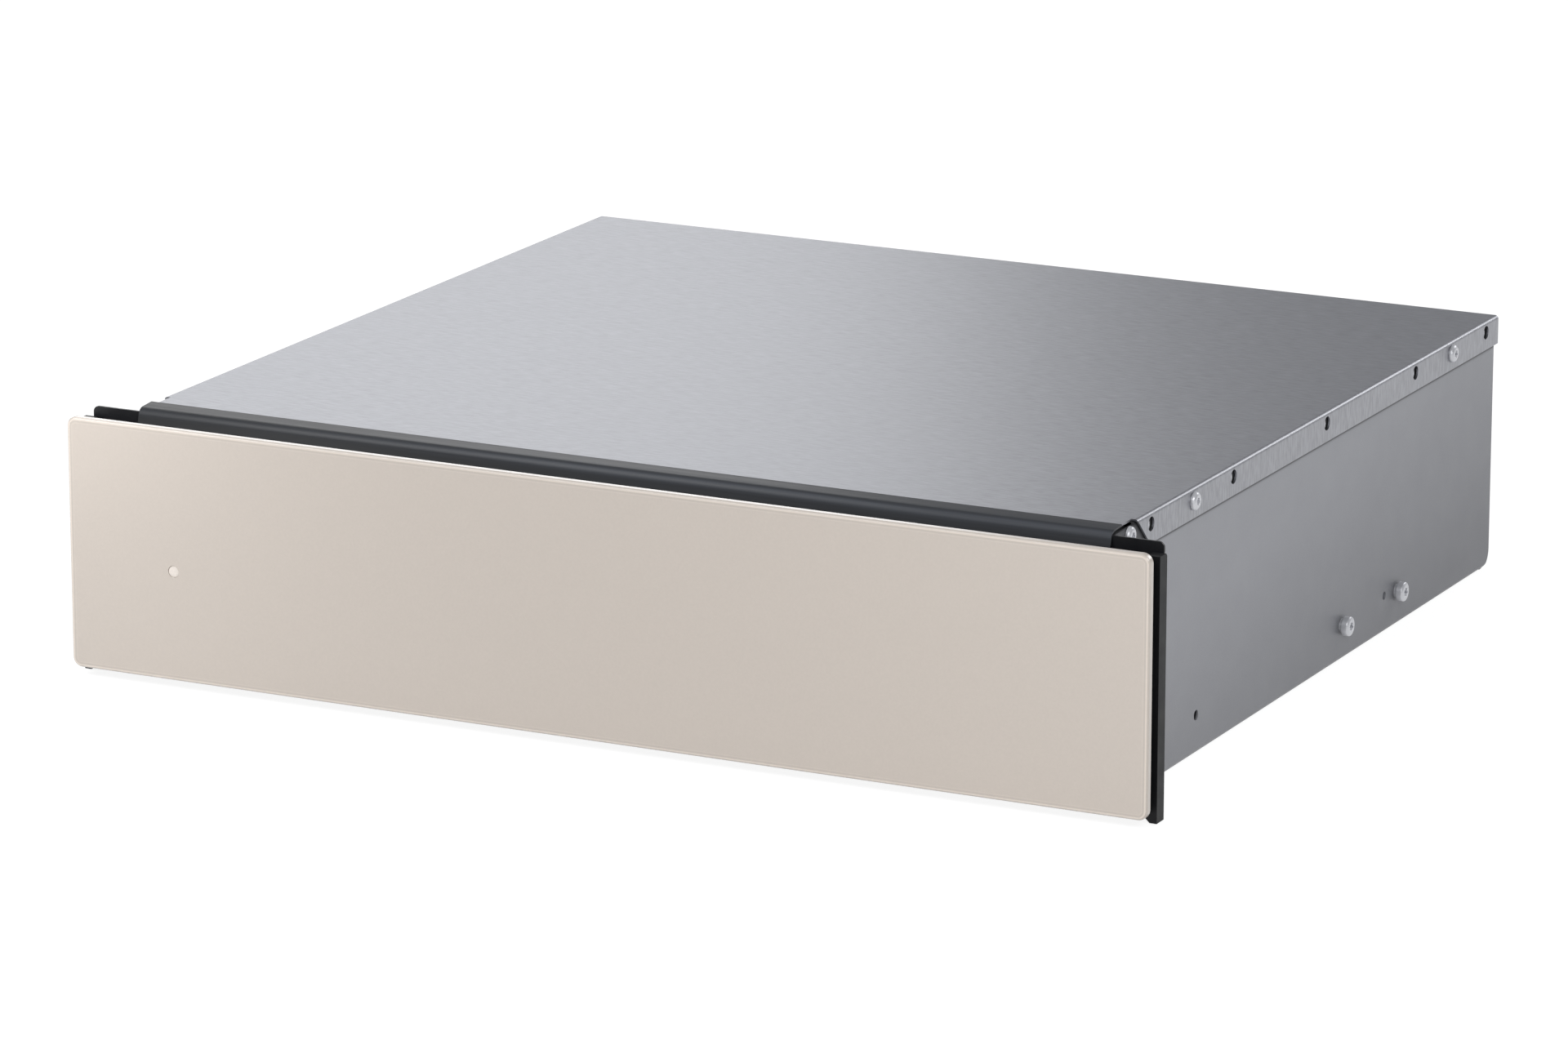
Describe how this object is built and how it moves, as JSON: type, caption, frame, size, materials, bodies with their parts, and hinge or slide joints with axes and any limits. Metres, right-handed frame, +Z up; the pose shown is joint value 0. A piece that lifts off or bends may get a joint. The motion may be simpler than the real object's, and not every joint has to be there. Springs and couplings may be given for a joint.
{
  "type": "warming drawer",
  "caption": "Built-in warming drawer: a sheet-metal casing with a glass-fronted, fan-heated drawer on telescopic runners, pushed to open.",
  "frame": {"origin": "centre of the whole appliance in plan, on the surface it stands on", "axes": "+Z up, +X to the right seen from the front, the glass front faces -Y"},
  "size_m": [0.595, 0.53, 0.1388],
  "materials": {
    "galvanised": "smooth satin grey zinc-coated sheet",
    "brushed_lid": "brushed across the width, satin",
    "screw_steel": "bright plated, satin",
    "black_paint": "satin black powder coat",
    "anthracite": "satin anthracite",
    "zinc_rail": "bright zinc plated",
    "cage_plastic": "moulded",
    "painted_glass": "beige back-painted gloss glass",
    "black_plastic": "fine matt grain",
    "lens": "milky, smooth",
    "circuit_board": "green solder mask",
    "insulation": "mineral wool felt",
    "tray_steel": "brushed stainless, satin",
    "mat_rubber": "matt silicone, fine ribs",
    "heater_sheath": "dark oxide",
    "fan_aluminium": "plain mill finish",
    "motor_iron": "laminated, oiled",
    "control_plastic": "off-white moulding",
    "fascia_black": "satin black",
    "knob_plastic": "satin dark grey",
    "button_plastic": "satin dark grey",
    "latch_plastic": "acetal"
  },
  "bodies": {
    "casing": {"casing_base": "galvanised", "rear_panel": "galvanised", "top_cover": "brushed_lid", "lid_screws": "screw_steel", "front_flange": "black_paint", "front_screws": "screw_steel", "front_trim": "anthracite", "cavity_ceiling": "galvanised", "outer_rail_left": "zinc_rail", "outer_rail_right": "zinc_rail", "guide_screws": "screw_steel", "latch_housing": "control_plastic", "terminal_box": "black_plastic", "cable_gland": "black_plastic"},
    "drawer": {"inner_rail_left": "zinc_rail", "inner_rail_right": "zinc_rail", "front_glass": "painted_glass", "front_carrier": "black_plastic", "indicator_lens": "lens", "drawer_chassis": "galvanised", "indicator_board": "circuit_board", "insulation_pad": "insulation", "drawer_tray": "tray_steel", "tray_mat": "mat_rubber", "fan_grille": "tray_steel", "fan_housing": "galvanised", "ring_heater": "heater_sheath", "fan_motor": "motor_iron", "thermal_cutout": "control_plastic", "latch_striker": "zinc_rail", "control_fascia": "fascia_black", "thermostat": "control_plastic", "control_board": "circuit_board", "carrier_screws": "screw_steel"},
    "mid_rail_left": {"mid_rail_left": "zinc_rail"},
    "mid_rail_right": {"mid_rail_right": "zinc_rail"},
    "outer_ball_cage_left": {"outer_ball_cage_left": "cage_plastic"},
    "outer_ball_cage_right": {"outer_ball_cage_right": "cage_plastic"},
    "inner_ball_cage_left": {"inner_ball_cage_left": "cage_plastic"},
    "inner_ball_cage_right": {"inner_ball_cage_right": "cage_plastic"},
    "fan": {"fan_wheel": "fan_aluminium", "fan_shaft": "screw_steel"},
    "temperature_knob": {"temperature_knob": "knob_plastic", "knob_spindle": "screw_steel"},
    "power_button": {"power_button": "button_plastic"},
    "latch_plunger": {"latch_plunger": "latch_plastic"}
  },
  "joints": [
    {"name": "drawer_slide", "type": "slide", "parent": "casing", "child": "drawer", "axis": [0, -1, 0], "range_m": [-0.0015, 0.4]},
    {"name": "mid_rail_left_slide", "type": "slide", "parent": "casing", "child": "mid_rail_left", "axis": [0, -1, 0], "range_m": [-0.00075, 0.2]},
    {"name": "outer_ball_cage_left_slide", "type": "slide", "parent": "casing", "child": "outer_ball_cage_left", "axis": [0, -1, 0], "range_m": [-0.00038, 0.1]},
    {"name": "inner_ball_cage_left_slide", "type": "slide", "parent": "casing", "child": "inner_ball_cage_left", "axis": [0, -1, 0], "range_m": [-0.00113, 0.3]},
    {"name": "mid_rail_right_slide", "type": "slide", "parent": "casing", "child": "mid_rail_right", "axis": [0, -1, 0], "range_m": [-0.00075, 0.2]},
    {"name": "outer_ball_cage_right_slide", "type": "slide", "parent": "casing", "child": "outer_ball_cage_right", "axis": [0, -1, 0], "range_m": [-0.00038, 0.1]},
    {"name": "inner_ball_cage_right_slide", "type": "slide", "parent": "casing", "child": "inner_ball_cage_right", "axis": [0, -1, 0], "range_m": [-0.00113, 0.3]},
    {"name": "fan_spin", "type": "hinge", "parent": "drawer", "child": "fan", "pos_m": [0, 0.186, 0.0745], "axis": [0, 1, 0], "continuous": true},
    {"name": "knob_turn", "type": "hinge", "parent": "drawer", "child": "temperature_knob", "pos_m": [-0.19, -0.234, 0.11], "axis": [0, 0, -1], "range_deg": [0, 270]},
    {"name": "button_press", "type": "slide", "parent": "drawer", "child": "power_button", "axis": [0, 0, -1], "range_m": [0, 0.0015], "stiffness_N_per_m": 400, "springref_m": -0.001},
    {"name": "plunger_press", "type": "slide", "parent": "casing", "child": "latch_plunger", "axis": [0, 1, 0], "range_m": [0, 0.0025], "stiffness_N_per_m": 400, "springref_m": -0.001}
  ],
  "couplings": [
    {"joint": "mid_rail_left_slide", "follows": "drawer_slide", "ratio": 0.5},
    {"joint": "outer_ball_cage_left_slide", "follows": "drawer_slide", "ratio": 0.25},
    {"joint": "inner_ball_cage_left_slide", "follows": "drawer_slide", "ratio": 0.75},
    {"joint": "mid_rail_right_slide", "follows": "drawer_slide", "ratio": 0.5},
    {"joint": "outer_ball_cage_right_slide", "follows": "drawer_slide", "ratio": 0.25},
    {"joint": "inner_ball_cage_right_slide", "follows": "drawer_slide", "ratio": 0.75}
  ]
}
